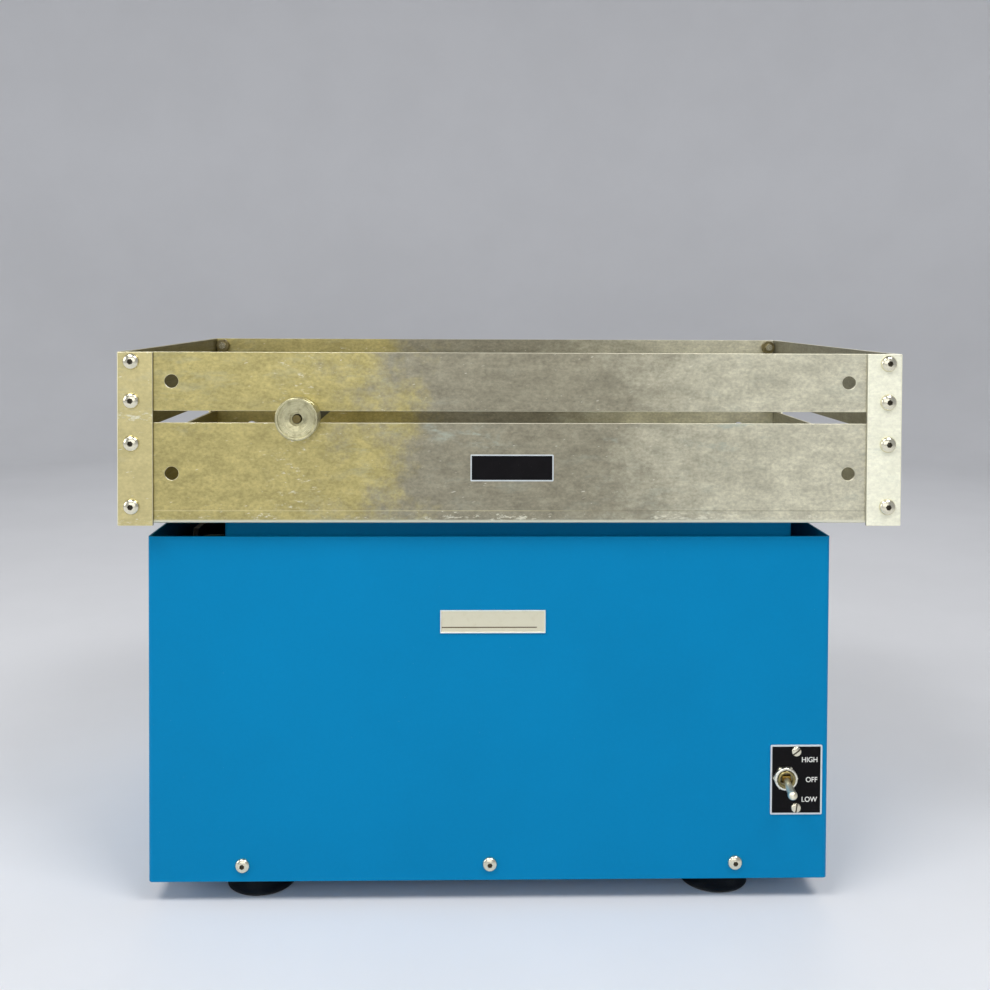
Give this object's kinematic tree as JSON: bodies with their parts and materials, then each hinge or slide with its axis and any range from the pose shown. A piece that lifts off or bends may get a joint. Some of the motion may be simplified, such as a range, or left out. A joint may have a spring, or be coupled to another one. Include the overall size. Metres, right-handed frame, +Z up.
{
  "type": "reciprocating laboratory shaker",
  "caption": "Bench shaker: a slotted aluminium box tray with a sliding crossbar, driven from side to side over an open-topped blue housing on rubber feet.",
  "frame": {"origin": "on the bench, under the middle of the tray as it stands at rest", "axes": "+X to the right along the tray's stroke, +Y to the rear, +Z up; the switch and badge face -Y"},
  "size_m": [0.531, 0.3346, 0.3818],
  "materials": {
    "blue_enamel": "satin enamel",
    "tray_aluminium": "brushed, worn",
    "turned_aluminium": "turned",
    "stainless_steel": "bright",
    "zinc_steel": "zinc plated",
    "ground_steel": "ground",
    "black_rubber": "matt",
    "black_plastic": "moulded",
    "black_label": "satin",
    "badge_silver": "satin",
    "chrome_plate": "polished",
    "cast_iron_paint": "painted casting",
    "bearing_bronze": "machined",
    "motor_lamination": "laminated, varnished"
  },
  "bodies": {
    "housing": {"housing_shell": "blue_enamel", "base_pan": "blue_enamel", "feet": "black_rubber", "foot_studs": "zinc_steel", "foot_nuts": "zinc_steel", "housing_screws": "stainless_steel", "cord_gland": "black_plastic", "badge": "badge_silver", "switch_plate": "black_label", "switch_plate_screws": "stainless_steel", "switch_body": "black_plastic", "switch_hex_nut": "chrome_plate", "switch_dress_nut": "chrome_plate", "end_frame_left": "zinc_steel", "end_frame_right": "zinc_steel", "guide_rod_front": "ground_steel", "guide_rod_rear": "ground_steel", "guide_rod_screws": "zinc_steel", "bearing_pedestal": "cast_iron_paint", "crank_bearings": "ground_steel", "drive_belt": "black_rubber", "motor_plate": "zinc_steel", "motor_bottom_bell": "cast_iron_paint", "motor_stator": "motor_lamination", "motor_top_bell": "cast_iron_paint"},
    "carriage": {"platform": "blue_enamel", "carriage_blocks": "turned_aluminium", "linear_bushings": "ground_steel", "wrist_block": "turned_aluminium", "wrist_pin": "ground_steel", "tray_pan": "tray_aluminium", "front_rail": "tray_aluminium", "rear_rail": "tray_aluminium", "left_rail": "tray_aluminium", "right_rail": "tray_aluminium", "bracket_front_left": "tray_aluminium", "bracket_front_right": "tray_aluminium", "bracket_rear_left": "tray_aluminium", "bracket_rear_right": "tray_aluminium", "tray_screws": "stainless_steel", "floor_screws": "stainless_steel", "tray_nuts": "stainless_steel", "tray_label": "black_label"},
    "crank": {"crank_shaft": "ground_steel", "driven_pulley": "turned_aluminium", "crank_disc": "zinc_steel", "crank_pin": "ground_steel"},
    "motor_rotor": {"motor_rotor": "ground_steel", "motor_pulley": "zinc_steel"},
    "connecting_rod": {"connecting_rod": "turned_aluminium", "rod_bushes": "bearing_bronze"},
    "switch_lever": {"switch_lever": "chrome_plate"},
    "crossbar": {"crossbar": "turned_aluminium", "crossbar_studs": "stainless_steel"},
    "knob_front": {"knob_front": "turned_aluminium"},
    "knob_rear": {"knob_rear": "turned_aluminium"}
  },
  "joints": [
    {"name": "carriage_slide", "type": "slide", "parent": "housing", "child": "carriage", "axis": [1, 0, 0], "range_m": [-0.03259, 0.00551]},
    {"name": "crank_spin", "type": "hinge", "parent": "housing", "child": "crank", "pos_m": [-0.12354, 0, 0.187], "axis": [0, 0, 1], "continuous": true},
    {"name": "motor_spin", "type": "hinge", "parent": "housing", "child": "motor_rotor", "pos_m": [0.12146, 0, 0.187], "axis": [0, 0, 1], "continuous": true},
    {"name": "rod_swing", "type": "hinge", "parent": "carriage", "child": "connecting_rod", "pos_m": [0, 0, 0.2085], "axis": [0, 0, 1], "range_deg": [-3.38, 16.56]},
    {"name": "switch_toggle", "type": "hinge", "parent": "housing", "child": "switch_lever", "pos_m": [0.19116, -0.1425, 0.087], "axis": [-1, 0, 0], "range_deg": [0, 32]},
    {"name": "crossbar_slide", "type": "slide", "parent": "carriage", "child": "crossbar", "axis": [1, 0, 0], "range_m": [-0.0832, 0.3702]},
    {"name": "knob_front_turn", "type": "hinge", "parent": "crossbar", "child": "knob_front", "pos_m": [-0.1435, 0, 0.33808], "axis": [0, -1, 0], "continuous": true},
    {"name": "knob_rear_turn", "type": "hinge", "parent": "crossbar", "child": "knob_rear", "pos_m": [-0.1435, 0, 0.33808], "axis": [0, 1, 0], "continuous": true}
  ],
  "couplings": [
    {"joint": "motor_spin", "follows": "crank_spin", "ratio": 6.2381}
  ]
}
